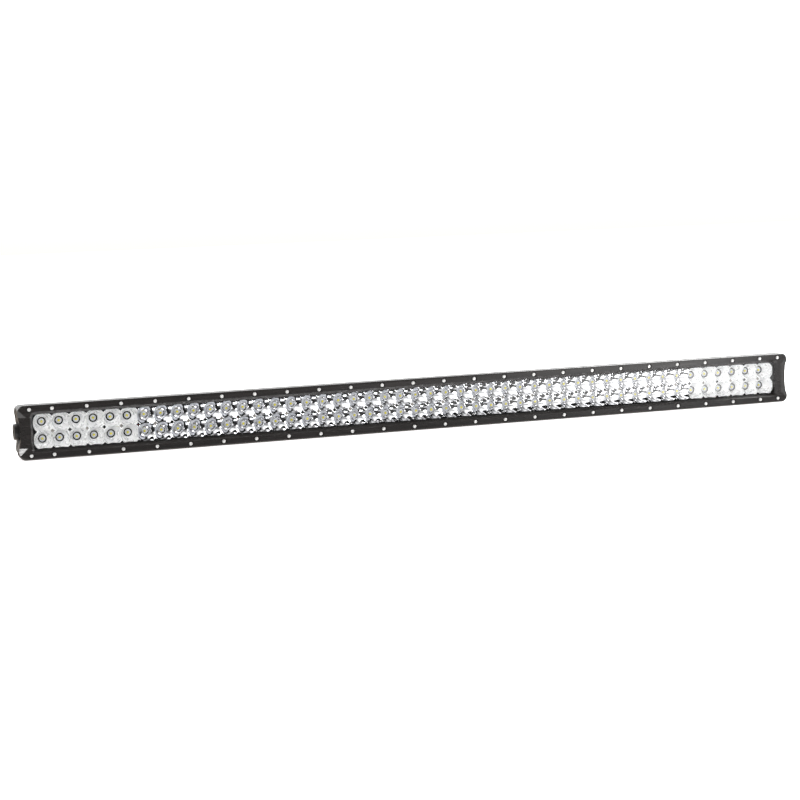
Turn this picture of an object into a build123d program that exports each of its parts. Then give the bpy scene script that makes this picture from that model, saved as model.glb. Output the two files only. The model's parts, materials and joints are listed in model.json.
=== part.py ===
from build123d import *

import os

# Double-row LED light bar, 50 inch class, in millimetres.
# +X runs along the bar, the light leaves towards -Y, and +Z is up.
# The origin is the centre of the bar's bounding box.
# A depth is a distance behind the front face of the bezel, along +Y.

os.makedirs("parts", exist_ok=True)

# ---------------------------------------------------------------- driving dimensions
PITCH = 25.4  # emitter to emitter, along the bar and between the two rows
COLUMNS = 48
MODULE_COLUMNS = 6
BAR_LENGTH = COLUMNS * PITCH + 50.8
BAR_HEIGHT = 81.0
BODY_DEPTH = 60.0
GLAND_LENGTH = 13.0
TOTAL_DEPTH = BODY_DEPTH + GLAND_LENGTH

# bezel
BEZEL_DEPTH = 7.0
CORNER_R = 10.0
WAIST_INSET = 3.5  # how far the ends curve in at mid-height
WAIST_HALF = 27.0
FRONT_FILLET = 2.4
LIP_DEPTH = 5.0  # the lens lies against the back of this lip
WINDOW_HALF = (613.0, 26.0)
BEVEL_HALF = (616.5, 30.3)
WINDOW_CORNER_R = 3.0
BEVEL_CORNER_R = 6.0
VALLEY_START = 622.5
VALLEY_HALF = 22.5
VALLEY_SLOPE = 1 / 3

# lens
LENS_DEPTH = 3.0
LENS_HALF = (616.6, 30.1)
LENS_SEAT_HALF = (616.9, 30.4)
LENS_CORNER_R = 2.0
LEDGE_DEPTH = 9.0

# housing extrusion
HOUSING_HALF = COLUMNS * PITCH / 2 - 1.0
NECK_DEPTH = 10.0
NECK_INSET = 2.0
FLANGE_BACK = 22.0
TROUGH_HALF = 28.5
DECK_FRONT = 33.0
DECK_BACK = 37.0
CHAMBER_HALF = 17.0
CHAMBER_BACK = 47.0
FIN_BACK = BODY_DEPTH - 1.0
FIN_ROOT = 2.6
FIN_TIP = 1.8

# end caps
CAP_INNER = COLUMNS * PITCH / 2
CAP_OUTER = BAR_LENGTH / 2
CAP_STEP = 26.0
CAP_REAR_HALF = 37.0
BOSS_R = 12.0
BOSS_FACE = CAP_OUTER + 3.5
BOSS_DEPTH = 28.0
DISH_R = 19.0
DISH_FLOOR = CAP_OUTER - 7.5
POCKET_FLOOR = CAP_OUTER - 11.0
BOSS_WALL = 4.0  # metal left behind the blind end of the side thread
SIDE_THREAD_R = 3.4  # M8 x 1.25 tapping size
SIDE_THREAD_LENGTH = 14.0
CAP_SCREWS = [(21.5, 31.5), (21.5, -31.5), (45.5, 22.0), (45.5, -22.0)]  # depth, height

# reflectors and emitters
REFLECTOR_FRONT = 10.0
REFLECTOR_BACK = 30.2
RIM_R = 15.0
SHELL = 0.8
END_REACH = 14.0  # how far the outermost bowls reach from their axes, past half a pitch
FLOOD_HOLE_R = 6.5
SPOT_HOLE_R = 5.0
BOARD_THICK = 1.6
BOARD_FRONT = DECK_FRONT - BOARD_THICK
BASE_THICK = 0.8
BASE_R = 4.4
DOME_R = 2.6
PHOSPHOR_R = 1.35
PHOSPHOR_THICK = 0.25

# fasteners
SCREW_ROW = 34.0
CORNER_SCREW_X = 617.4
SEAT_DEPTH = 2.2
SEAT_R = 3.9
SCREW_HOLE_R = 2.0
REFLECTOR_SCREW_DEPTH = REFLECTOR_FRONT + 1.5
CAP_SEAT_R = 4.0
CAP_HOLE_R = 2.2

FRONT = -TOTAL_DEPTH / 2
MODULES = COLUMNS // MODULE_COLUMNS
MODULE_LENGTH = MODULE_COLUMNS * PITCH
module_centres = [(m - (MODULES - 1) / 2) * MODULE_LENGTH for m in range(MODULES)]
module_screws = [-2 * PITCH, 0, 2 * PITCH]
column_x = [(i - (COLUMNS - 1) / 2) * PITCH for i in range(COLUMNS)]
rail_screw_x = [centre + step for centre in module_centres for step in module_screws]
emitters = [(x, z) for x in column_x for z in (PITCH / 2, -PITCH / 2)]
bezel_screws_at = [(x, z) for x in rail_screw_x for z in (SCREW_ROW, -SCREW_ROW)]
corner_x = (CORNER_SCREW_X, -CORNER_SCREW_X)
bezel_screws_at += [(x, z) for x in corner_x for z in (SCREW_ROW, -SCREW_ROW)]


# ---------------------------------------------------------------- helpers
def at_depth(depth):
    """Plane facing the front at this depth, with X to the right and Z up."""
    return Plane.XZ.offset(-(FRONT + depth))


def section_box(depths, heights, mode=Mode.ADD):
    """Rectangle of a cross-section, between two depths and two heights."""
    with Locations((FRONT + sum(depths) / 2, sum(heights) / 2)):
        Rectangle(depths[1] - depths[0], heights[1] - heights[0], mode=mode)


def section_shape(points):
    """Closed polygon of a cross-section, from depth and height pairs."""
    Polygon(*[(FRONT + depth, height) for depth, height in points], align=None)


def end_outline(outer, half_height, corner_r, waist):
    """Front outline of both ends: a rounded rectangle with waisted short sides."""
    Rectangle(2 * outer, 2 * half_height)
    fillet(vertices(), corner_r)
    arc_r = (WAIST_HALF**2 + waist**2) / (2 * waist)
    for side in (1, -1):
        with Locations((side * (outer - waist + arc_r), 0)):
            Circle(arc_r, mode=Mode.SUBTRACT)


def pan_screw(head_r, head_height, shank_r, length):
    """Pan-head screw along -Z, with a hexagon socket, under a head that stands on the XY plane."""
    with BuildPart() as screw:
        with BuildSketch(Plane.XZ):
            with BuildLine():
                Polyline((0, head_height), (0, -length), (shank_r, -length), (shank_r, 0), (head_r, 0))
                Line((head_r, 0), (head_r, head_height * 0.3))
                ThreePointArc(
                    (head_r, head_height * 0.3),
                    (head_r * 0.86, head_height * 0.78),
                    (head_r * 0.5, head_height),
                )
                Line((head_r * 0.5, head_height), (0, head_height))
            make_face()
        revolve(axis=Axis.Z)
        with BuildSketch(Plane.XY.offset(head_height)):
            RegularPolygon(head_r * 0.4, 6)
        extrude(amount=-head_height * 0.55, mode=Mode.SUBTRACT)
    return screw.part


def cap_screw_seat(depth):
    """How far out a cap screw's head sits; the part behind the step is set in further."""
    return CAP_OUTER - (4.0 if depth < CAP_STEP else 6.0)


def facing_front(shape, x, depth, z):
    """The shape turned from +Z to point out of the front, and moved to its place."""
    return Pos(x, FRONT + depth, z) * Rot(90, 0, 0) * shape


# ---------------------------------------------------------------- housing extrusion
WALL_PROFILE = [
    (BEZEL_DEPTH, LENS_SEAT_HALF[1]),
    (BEZEL_DEPTH, BAR_HEIGHT / 2 - NECK_INSET),
    (NECK_DEPTH, BAR_HEIGHT / 2 - NECK_INSET),
    (NECK_DEPTH, BAR_HEIGHT / 2),
    (FLANGE_BACK, BAR_HEIGHT / 2),
    (FLANGE_BACK + 6, TROUGH_HALF + 5),
    (DECK_BACK, TROUGH_HALF + 5),
    (DECK_BACK, TROUGH_HALF),
    (LEDGE_DEPTH, TROUGH_HALF),
    (LEDGE_DEPTH, LENS_SEAT_HALF[1]),
]
INNER_FINS = [0, 6.2, 12.4]
OUTER_FINS = [25.4, TROUGH_HALF + 3.7]
CHAMBER_WALL = 2.2
CHAMBER_OUTER = CHAMBER_HALF + CHAMBER_WALL
SCREW_CHANNEL_HALF = 1.75
SCREW_CHANNEL_BACK = 18.0
CAP_SCREW_LOBE_R = 3.6
FEED_HOLE_R = 2.5
FIN_OVERLAP = 1.0

with BuildPart() as housing_extrusion:
    with BuildSketch(Plane.YZ):
        section_box((DECK_FRONT, DECK_BACK), (-TROUGH_HALF - 0.1, TROUGH_HALF + 0.1))
        section_box((DECK_BACK, CHAMBER_BACK + CHAMBER_WALL), (-CHAMBER_OUTER, CHAMBER_OUTER))
        for side in (1, -1):
            section_shape([(depth, side * height) for depth, height in WALL_PROFILE])
            channel = (side * SCREW_ROW - SCREW_CHANNEL_HALF, side * SCREW_ROW + SCREW_CHANNEL_HALF)
            section_box((BEZEL_DEPTH, SCREW_CHANNEL_BACK), channel, mode=Mode.SUBTRACT)
            fins = [(z, CHAMBER_BACK) for z in INNER_FINS if side == 1 or z > 0]
            fins += [(CHAMBER_OUTER - FIN_ROOT / 2, CHAMBER_BACK)]
            fins += [(z, DECK_BACK - FIN_OVERLAP) for z in OUTER_FINS]
            for z, root in fins:
                section_shape(
                    [
                        (root, side * z - FIN_ROOT / 2),
                        (root, side * z + FIN_ROOT / 2),
                        (FIN_BACK, side * z + FIN_TIP / 2),
                        (FIN_BACK, side * z - FIN_TIP / 2),
                    ]
                )
        section_box((DECK_BACK, CHAMBER_BACK), (-CHAMBER_HALF, CHAMBER_HALF), mode=Mode.SUBTRACT)
        with Locations(*[(FRONT + depth, z) for depth, z in CAP_SCREWS if depth > DECK_BACK]):
            Circle(CAP_SCREW_LOBE_R)
        with Locations(*[(FRONT + depth, z) for depth, z in CAP_SCREWS]):
            Circle(SCREW_CHANNEL_HALF, mode=Mode.SUBTRACT)
    extrude(amount=HOUSING_HALF, both=True)
    # threaded holes of the reflector screws, and the feed holes of the supply wires
    with BuildSketch(at_depth(DECK_FRONT)):
        with Locations(*[(x, 0) for x in rail_screw_x]):
            Circle(1.45)
        with Locations(*[(x + PITCH, 0) for x in (module_centres[1], module_centres[6])]):
            Circle(FEED_HOLE_R)
    extrude(amount=-(DECK_BACK - DECK_FRONT), mode=Mode.SUBTRACT)
housing_extrusion.part.label = "housing_extrusion"
export_step(housing_extrusion.part, "parts/housing_extrusion.step")

# ---------------------------------------------------------------- front bezel
with BuildPart() as front_bezel:
    with BuildSketch(at_depth(0)):
        end_outline(CAP_OUTER, BAR_HEIGHT / 2, CORNER_R, WAIST_INSET)
    extrude(amount=-BEZEL_DEPTH)
    fillet(front_bezel.faces().sort_by(Axis.Y)[0].outer_wire().edges(), FRONT_FILLET)
    # bevelled window
    with BuildSketch(at_depth(0)):
        RectangleRounded(2 * BEVEL_HALF[0], 2 * BEVEL_HALF[1], BEVEL_CORNER_R)
    with BuildSketch(at_depth(LIP_DEPTH)):
        RectangleRounded(2 * WINDOW_HALF[0], 2 * WINDOW_HALF[1], WINDOW_CORNER_R)
    loft(mode=Mode.SUBTRACT)
    with BuildSketch(at_depth(LIP_DEPTH)):
        RectangleRounded(2 * LENS_SEAT_HALF[0], 2 * LENS_SEAT_HALF[1], LENS_CORNER_R)
    extrude(amount=-(BEZEL_DEPTH - LIP_DEPTH), mode=Mode.SUBTRACT)
    # screw seats
    with BuildSketch(at_depth(0)):
        with Locations(*bezel_screws_at):
            Circle(SEAT_R)
    extrude(amount=-SEAT_DEPTH, mode=Mode.SUBTRACT)
    with BuildSketch(at_depth(0)):
        with Locations(*bezel_screws_at):
            Circle(SCREW_HOLE_R)
    extrude(amount=-BEZEL_DEPTH, mode=Mode.SUBTRACT)
    # valleys that run out of the short sides, with equally sloped floor and walls
    floor_run = 20.0
    floor_drop = floor_run * VALLEY_SLOPE
    for side in (1, -1):
        start, end = side * VALLEY_START, side * (VALLEY_START + floor_run)
        valley = ConvexPolyhedron(
            [
                (start, FRONT, VALLEY_HALF),
                (start, FRONT, -VALLEY_HALF),
                (end, FRONT, VALLEY_HALF + floor_run),
                (end, FRONT, -VALLEY_HALF - floor_run),
                (end, FRONT + floor_drop, VALLEY_HALF),
                (end, FRONT + floor_drop, -VALLEY_HALF),
            ],
            mode=Mode.PRIVATE,
        )
        add(valley, mode=Mode.SUBTRACT)
front_bezel.part.label = "front_bezel"
export_step(front_bezel.part, "parts/front_bezel.step")

# ---------------------------------------------------------------- lens and its gasket
with BuildPart() as lens:
    with BuildSketch(at_depth(LIP_DEPTH)):
        RectangleRounded(2 * LENS_HALF[0], 2 * LENS_HALF[1], LENS_CORNER_R)
    extrude(amount=-LENS_DEPTH)
lens.part.label = "lens"
export_step(lens.part, "parts/lens.step")

GASKET_WIDTH = 1.5
with BuildPart() as lens_gasket:
    with BuildSketch(at_depth(LIP_DEPTH + LENS_DEPTH)):
        RectangleRounded(2 * LENS_HALF[0], 2 * LENS_HALF[1], LENS_CORNER_R)
        inner = [2 * (half - GASKET_WIDTH) for half in LENS_HALF]
        RectangleRounded(*inner, 1.0, mode=Mode.SUBTRACT)
    extrude(amount=-(LEDGE_DEPTH - LIP_DEPTH - LENS_DEPTH))
lens_gasket.part.label = "lens_gasket"
export_step(lens_gasket.part, "parts/lens_gasket.step")

# ---------------------------------------------------------------- end caps and gaskets
POCKET_BACK = BODY_DEPTH - 4
POCKET_FRONT = 12.0
TROUGH_MOUTH_HALF = TROUGH_HALF - 1.5
CHAMBER_MOUTH_HALF = CHAMBER_HALF - 1.0
FRONT_POCKET = ((POCKET_FRONT, DECK_FRONT - 2), (-TROUGH_MOUTH_HALF, TROUGH_MOUTH_HALF))
REAR_POCKET = ((DECK_BACK + 1, POCKET_BACK), (-CHAMBER_MOUTH_HALF, CHAMBER_MOUTH_HALF))
TROUGH_MOUTH = ((LEDGE_DEPTH, DECK_FRONT - 2), FRONT_POCKET[1])
CHAMBER_MOUTH = ((DECK_BACK + 1, CHAMBER_BACK - 0.5), REAR_POCKET[1])
RIM_NOTCH_X = (COLUMNS - 1) / 2 * PITCH + END_REACH + SHELL + 0.6
DISH_TAPER = 20
CLEAR = 20.0  # long enough to cut out through a cap
GLAND_X = CAP_INNER + 7.2
GLAND_THREAD_R = 5.0
VENT_THREAD_R = 3.0

for side, side_name in ((1, "right"), (-1, "left")):
    port_r = GLAND_THREAD_R if side == 1 else VENT_THREAD_R
    with BuildPart() as end_cap:
        with BuildSketch(at_depth(BEZEL_DEPTH)):
            neck = [size - NECK_INSET for size in (CAP_OUTER, BAR_HEIGHT / 2, CORNER_R)]
            end_outline(*neck, WAIST_INSET)
        extrude(amount=-(NECK_DEPTH - BEZEL_DEPTH))
        with BuildSketch(at_depth(NECK_DEPTH)):
            end_outline(CAP_OUTER, BAR_HEIGHT / 2, CORNER_R, WAIST_INSET)
        extrude(amount=-(CAP_STEP - NECK_DEPTH))
        fillet(end_cap.faces().sort_by(Axis.Y)[-1].outer_wire().edges(), 1.5)
        with BuildSketch(at_depth(CAP_STEP)):
            end_outline(CAP_OUTER - 2, CAP_REAR_HALF, CORNER_R - 2, WAIST_INSET - 1.5)
        extrude(amount=-(BODY_DEPTH - CAP_STEP))
        fillet(end_cap.faces().sort_by(Axis.Y)[-1].outer_wire().edges(), 3.0)
        # only the part beyond the extrusion stays
        split(bisect_by=Plane.YZ.offset(side * CAP_INNER), keep=Keep.TOP if side == 1 else Keep.BOTTOM)
        # dish round the side boss
        with BuildSketch(Plane.YZ.offset(side * DISH_FLOOR)):
            with Locations((FRONT + BOSS_DEPTH, 0)):
                Circle(DISH_R)
        extrude(amount=side * CLEAR, taper=-DISH_TAPER, mode=Mode.SUBTRACT)
        # pockets behind the reflectors and behind the deck
        with BuildSketch(Plane.YZ.offset(side * CAP_INNER)):
            section_box(*FRONT_POCKET)
            section_box(*REAR_POCKET)
        extrude(amount=side * (POCKET_FLOOR - CAP_INNER), mode=Mode.SUBTRACT)
        # side boss with its blind threaded hole
        with BuildSketch(Plane.YZ.offset(side * (BOSS_FACE - SIDE_THREAD_LENGTH - BOSS_WALL))):
            with Locations((FRONT + BOSS_DEPTH, 0)):
                Circle(BOSS_R)
        extrude(amount=side * (SIDE_THREAD_LENGTH + BOSS_WALL))
        chamfer(end_cap.faces().sort_by(Axis.X)[-1 if side == 1 else 0].outer_wire().edges(), 0.8)
        with BuildSketch(Plane.YZ.offset(side * BOSS_FACE)):
            with Locations((FRONT + BOSS_DEPTH, 0)):
                Circle(SIDE_THREAD_R)
        extrude(amount=-side * SIDE_THREAD_LENGTH, mode=Mode.SUBTRACT)
        # lens seat
        with BuildSketch(at_depth(BEZEL_DEPTH)):
            Rectangle(2 * LENS_SEAT_HALF[0], 2 * LENS_SEAT_HALF[1])
        extrude(amount=-(LEDGE_DEPTH - BEZEL_DEPTH), mode=Mode.SUBTRACT)
        # notch for the rims of the outermost bowls
        with BuildSketch(at_depth(LEDGE_DEPTH)):
            Rectangle(2 * RIM_NOTCH_X, 2 * TROUGH_MOUTH_HALF)
        extrude(amount=-(POCKET_FRONT - LEDGE_DEPTH), mode=Mode.SUBTRACT)
        # corner screws of the bezel
        with BuildSketch(at_depth(BEZEL_DEPTH)):
            with Locations((side * CORNER_SCREW_X, SCREW_ROW), (side * CORNER_SCREW_X, -SCREW_ROW)):
                Circle(SCREW_CHANNEL_HALF)
        extrude(amount=-10, mode=Mode.SUBTRACT)
        # cap screws with sunk heads
        with BuildSketch(Plane.YZ.offset(side * CAP_INNER)):
            with Locations(*[(FRONT + depth, z) for depth, z in CAP_SCREWS]):
                Circle(CAP_HOLE_R)
        extrude(amount=side * (CAP_OUTER - CAP_INNER), mode=Mode.SUBTRACT)
        for depth, z in CAP_SCREWS:
            with BuildSketch(Plane.YZ.offset(side * cap_screw_seat(depth))):
                with Locations((FRONT + depth, z)):
                    Circle(CAP_SEAT_R)
            extrude(amount=side * CLEAR, mode=Mode.SUBTRACT)
        # rear port of the cable gland or of the breather
        with BuildSketch(at_depth(BODY_DEPTH)):
            with Locations((side * GLAND_X, 0)):
                Circle(port_r + 0.1)
        extrude(amount=5, mode=Mode.SUBTRACT)
    end_cap.part.label = f"end_cap_{side_name}"
    export_step(end_cap.part, f"parts/end_cap_{side_name}.step")

    with BuildPart() as end_gasket:
        with BuildSketch(Plane.YZ.offset(side * HOUSING_HALF)):
            section_box((LEDGE_DEPTH + 0.2, BODY_DEPTH - 2), (-CAP_REAR_HALF + 1, CAP_REAR_HALF - 1))
            fillet(vertices(), 4)
            section_box(*TROUGH_MOUTH, mode=Mode.SUBTRACT)
            section_box(*CHAMBER_MOUTH, mode=Mode.SUBTRACT)
            with Locations(*[(FRONT + depth, z) for depth, z in CAP_SCREWS]):
                Circle(2.4, mode=Mode.SUBTRACT)
        extrude(amount=side * (CAP_INNER - HOUSING_HALF))
    end_gasket.part.label = f"end_gasket_{side_name}"
    export_step(end_gasket.part, f"parts/end_gasket_{side_name}.step")


# ---------------------------------------------------------------- reflector modules
POST_R = 2.4
POST_HOLE_R = 1.6
WEB_DEPTH = REFLECTOR_FRONT + 5.5  # four webs hold each post to the bowls around it
WEB_HEIGHT = 10.0
WEB_REACH = 11.0
WEB_THICK = 1.2
MODULE_GAP = 0.2
BOARD_GAP = 0.6


def bowl(hole_r, wall):
    """Paraboloid of revolution about the emitter's axis, grown outwards by a wall."""
    small, large = hole_r + wall, RIM_R + wall
    rise = (REFLECTOR_BACK - REFLECTOR_FRONT) / (large**2 - small**2)
    front = FRONT + REFLECTOR_FRONT
    back = FRONT + REFLECTOR_BACK
    with BuildPart() as paraboloid:
        with BuildSketch(Plane.XY):
            with BuildLine():
                Line((0, front), (large, front))
                # the control point is where the tangents at the two ends meet
                control = ((small + large) / 2, back - rise * (large * small - small**2))
                Bezier((large, front), control, (small, back))
                Line((small, back), (0, back))
                Line((0, back), (0, front))
            make_face()
        revolve(axis=Axis.Y)
    return paraboloid.part


def reflector_module(hole_r, outermost):
    """Six by two bowls in one moulding, with three screw posts on the centre line."""
    reach = END_REACH + SHELL - PITCH / 2 if outermost else 0
    cell_x = [(i - (MODULE_COLUMNS - 1) / 2) * PITCH for i in range(MODULE_COLUMNS)]
    cells = [(x, 0, z) for x in cell_x for z in (PITCH / 2, -PITCH / 2)]
    outside = bowl(hole_r, SHELL)
    inside = bowl(hole_r, 0)
    with BuildPart() as module:
        with Locations(*cells):
            add(outside)
        with BuildSketch(at_depth(REFLECTOR_FRONT)):
            with Locations((-reach / 2, 0)):
                Rectangle(MODULE_LENGTH - MODULE_GAP + reach, 2 * PITCH - MODULE_GAP)
        extrude(amount=-(REFLECTOR_BACK - REFLECTOR_FRONT), mode=Mode.INTERSECT)
        with BuildSketch(at_depth(REFLECTOR_SCREW_DEPTH)):
            with Locations(*[(x, 0) for x in module_screws]):
                Circle(POST_R)
        extrude(amount=-(BOARD_FRONT - REFLECTOR_SCREW_DEPTH))
        with BuildSketch(at_depth(WEB_DEPTH)):
            with Locations(*[(x, 0) for x in module_screws]):
                Rectangle(2 * WEB_REACH, WEB_THICK)
                Rectangle(WEB_THICK, 2 * WEB_REACH)
        extrude(amount=-WEB_HEIGHT)
        with Locations(*cells):
            add(inside, mode=Mode.SUBTRACT)
        with BuildSketch(at_depth(REFLECTOR_FRONT)):
            with Locations(*[(x, 0) for x in module_screws]):
                Circle(POST_HOLE_R)
        extrude(amount=-(BOARD_FRONT - REFLECTOR_FRONT), mode=Mode.SUBTRACT)
    return module.part


flood_shape = reflector_module(FLOOD_HOLE_R, outermost=True)
spot_shape = reflector_module(SPOT_HOLE_R, outermost=False)
for m, centre in enumerate(module_centres):
    beam = "flood" if m in (0, MODULES - 1) else "spot"
    shape = flood_shape if beam == "flood" else spot_shape
    # the last module is the first one turned end for end
    turn = 180 if m == MODULES - 1 else 0
    with BuildPart() as reflector:
        add(Pos(centre, 0, 0) * Rot(0, turn, 0) * shape)
    reflector.part.label = f"reflector_{beam}_{m + 1}"
    export_step(reflector.part, f"parts/reflector_{beam}_{m + 1}.step")

    with BuildPart() as led_board:
        with BuildSketch(at_depth(BOARD_FRONT)):
            with Locations((centre, 0)):
                Rectangle(MODULE_LENGTH - BOARD_GAP, 2 * TROUGH_MOUTH_HALF)
            with Locations(*[(centre + x, 0) for x in module_screws]):
                Circle(POST_HOLE_R + 0.1, mode=Mode.SUBTRACT)
        extrude(amount=-BOARD_THICK)
    led_board.part.label = f"led_board_{m + 1}"
    export_step(led_board.part, f"parts/led_board_{m + 1}.step")

# ---------------------------------------------------------------- emitters
with BuildPart() as led_bases:
    with BuildSketch(at_depth(BOARD_FRONT)):
        with Locations(*emitters):
            Circle(BASE_R)
    extrude(amount=BASE_THICK)
led_bases.part.label = "led_bases"
export_step(led_bases.part, "parts/led_bases.step")

BASE_FRONT = BOARD_FRONT - BASE_THICK
with BuildPart() as led_phosphors:
    with BuildSketch(at_depth(BASE_FRONT)):
        with Locations(*emitters):
            Circle(PHOSPHOR_R)
    extrude(amount=PHOSPHOR_THICK)
led_phosphors.part.label = "led_phosphors"
export_step(led_phosphors.part, "parts/led_phosphors.step")

with BuildPart() as dome:
    with BuildSketch(Plane.XZ):
        with BuildLine():
            Line((PHOSPHOR_R, 0), (DOME_R, 0))
            ThreePointArc((DOME_R, 0), (DOME_R * 0.5**0.5, DOME_R * 0.5**0.5), (0, DOME_R))
            Line((0, DOME_R), (0, PHOSPHOR_THICK))
            Line((0, PHOSPHOR_THICK), (PHOSPHOR_R, PHOSPHOR_THICK))
            Line((PHOSPHOR_R, PHOSPHOR_THICK), (PHOSPHOR_R, 0))
        make_face()
    revolve(axis=Axis.Z)
with BuildPart() as led_domes:
    for x, z in emitters:
        add(facing_front(dome.part, x, BASE_FRONT, z))
led_domes.part.label = "led_domes"
export_step(led_domes.part, "parts/led_domes.step")

# ---------------------------------------------------------------- fasteners
bezel_screw = pan_screw(2.75, 2.0, 1.6, 14.0)
with BuildPart() as bezel_screws:
    for x, z in bezel_screws_at:
        add(facing_front(bezel_screw, x, SEAT_DEPTH, z))
bezel_screws.part.label = "bezel_screws"
export_step(bezel_screws.part, "parts/bezel_screws.step")

reflector_screw = pan_screw(2.2, 1.6, 1.35, DECK_BACK - REFLECTOR_SCREW_DEPTH - 0.5)
with BuildPart() as reflector_screws:
    for x in rail_screw_x:
        add(facing_front(reflector_screw, x, REFLECTOR_SCREW_DEPTH, 0))
reflector_screws.part.label = "reflector_screws"
export_step(reflector_screws.part, "parts/reflector_screws.step")

CAP_SCREW_GRIP = 9.0
with BuildPart() as end_cap_screws:
    for side in (1, -1):
        for depth, z in CAP_SCREWS:
            seat = cap_screw_seat(depth)
            cap_screw = pan_screw(3.4, 2.4, 1.65, seat - HOUSING_HALF + CAP_SCREW_GRIP)
            add(Pos(side * seat, FRONT + depth, z) * Rot(0, side * 90, 0) * cap_screw)
end_cap_screws.part.label = "end_cap_screws"
export_step(end_cap_screws.part, "parts/end_cap_screws.step")

# ---------------------------------------------------------------- drivers in the rear chamber
DRIVER_X = 300.0
DRIVER_HALF = 90.0
DRIVER_HEIGHT = 28.0
INSULATOR_MARGIN = 4.0
INSULATOR_THICK = 1.5
INDUCTOR_SIZE = (12.0, 5.0)  # side and thickness
INDUCTOR_X = (-60, -20, 20, 60)
INDUCTOR_Z = 3.0
CAPACITOR_SIZE = (4.0, 5.4)  # radius and thickness
CAPACITOR_X = (-40, 0, 40)
CAPACITOR_Z = (7.0, -3.0)
TRANSISTOR_SIZE = (6.5, 6.0, 2.3)
TRANSISTOR_X = (-76, -60, -20, 20, 60, 76)
TRANSISTOR_Z = -8.0
DRIVER_FRONT = DECK_BACK + INSULATOR_THICK
DRIVER_BACK = DRIVER_FRONT + BOARD_THICK
driver_places = (-DRIVER_X, DRIVER_X)

with BuildPart() as driver_insulators:
    with BuildSketch(at_depth(DECK_BACK)):
        with Locations(*[(x, 0) for x in driver_places]):
            Rectangle(2 * (DRIVER_HALF - INSULATOR_MARGIN), DRIVER_HEIGHT - INSULATOR_MARGIN)
    extrude(amount=-INSULATOR_THICK)
driver_insulators.part.label = "driver_insulators"
export_step(driver_insulators.part, "parts/driver_insulators.step")

with BuildPart() as driver_boards:
    with BuildSketch(at_depth(DRIVER_FRONT)):
        with Locations(*[(x, 0) for x in driver_places]):
            Rectangle(2 * DRIVER_HALF, DRIVER_HEIGHT)
    extrude(amount=-BOARD_THICK)
driver_boards.part.label = "driver_boards"
export_step(driver_boards.part, "parts/driver_boards.step")

with BuildPart() as driver_inductors:
    with BuildSketch(at_depth(DRIVER_BACK)):
        with Locations(*[(x + step, INDUCTOR_Z) for x in driver_places for step in INDUCTOR_X]):
            RectangleRounded(INDUCTOR_SIZE[0], INDUCTOR_SIZE[0], 2.5)
    extrude(amount=-INDUCTOR_SIZE[1])
    chamfer(driver_inductors.faces().group_by(Axis.Y)[-1].edges(), 1.0)
driver_inductors.part.label = "driver_inductors"
export_step(driver_inductors.part, "parts/driver_inductors.step")

with BuildPart() as driver_capacitors:
    with BuildSketch(at_depth(DRIVER_BACK)):
        capacitor_x = [x + step for x in driver_places for step in CAPACITOR_X]
        with Locations(*[(x, z) for x in capacitor_x for z in CAPACITOR_Z]):
            Circle(CAPACITOR_SIZE[0])
    extrude(amount=-CAPACITOR_SIZE[1])
    fillet(driver_capacitors.faces().group_by(Axis.Y)[-1].edges(), 0.5)
driver_capacitors.part.label = "driver_capacitors"
export_step(driver_capacitors.part, "parts/driver_capacitors.step")

with BuildPart() as driver_transistors:
    with BuildSketch(at_depth(DRIVER_BACK)):
        with Locations(*[(x + step, TRANSISTOR_Z) for x in driver_places for step in TRANSISTOR_X]):
            Rectangle(*TRANSISTOR_SIZE[:2])
    extrude(amount=-TRANSISTOR_SIZE[2])
driver_transistors.part.label = "driver_transistors"
export_step(driver_transistors.part, "parts/driver_transistors.step")

# ---------------------------------------------------------------- wiring
WIRE_R = 1.0
WIRE_Z = 14.4
WIRE_DEPTH = CHAMBER_BACK - 1.6
WIRE_START = -DRIVER_X - DRIVER_HALF + 10.0
WIRE_END = CAP_INNER + 4.0
with BuildPart() as supply_wires:
    with BuildSketch(Plane.YZ.offset(WIRE_START)):
        with Locations((FRONT + WIRE_DEPTH, WIRE_Z), (FRONT + WIRE_DEPTH, -WIRE_Z)):
            Circle(WIRE_R)
    extrude(amount=WIRE_END - WIRE_START)
supply_wires.part.label = "supply_wires"
export_step(supply_wires.part, "parts/supply_wires.step")

JUMPER_R = 0.6
JUMPER_Z = 2.5
JUMPER_LENGTH = 10.0
with BuildPart() as board_jumpers:
    for m in range(MODULES - 1):
        boundary = (m + 1 - MODULES / 2) * MODULE_LENGTH
        with BuildSketch(Plane.YZ.offset(boundary - JUMPER_LENGTH / 2)):
            depth = FRONT + BOARD_FRONT - JUMPER_R
            with Locations((depth, JUMPER_Z), (depth, -JUMPER_Z)):
                Circle(JUMPER_R)
        extrude(amount=JUMPER_LENGTH)
board_jumpers.part.label = "board_jumpers"
export_step(board_jumpers.part, "parts/board_jumpers.step")

# ---------------------------------------------------------------- cable gland and breather
CABLE_R = 3.2
SEAL_THICK = 1.0
HEX_THICK = 4.0
HEX_BACK = BODY_DEPTH + SEAL_THICK + HEX_THICK
LOCKNUT_THICK = 3.0
THREAD_FRONT = POCKET_BACK - LOCKNUT_THICK - 1.0
BARREL_R = 5.0
BARREL_BACK = TOTAL_DEPTH - 2.5
VENT_CAP_R = 5.5
VENT_CAP_THICK = 3.0

with BuildPart() as gland_seal:
    with BuildSketch(at_depth(BODY_DEPTH)):
        with Locations((GLAND_X, 0)):
            Circle(7.2)
            Circle(GLAND_THREAD_R + 0.05, mode=Mode.SUBTRACT)
    extrude(amount=-SEAL_THICK)
gland_seal.part.label = "gland_seal"
export_step(gland_seal.part, "parts/gland_seal.step")

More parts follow.
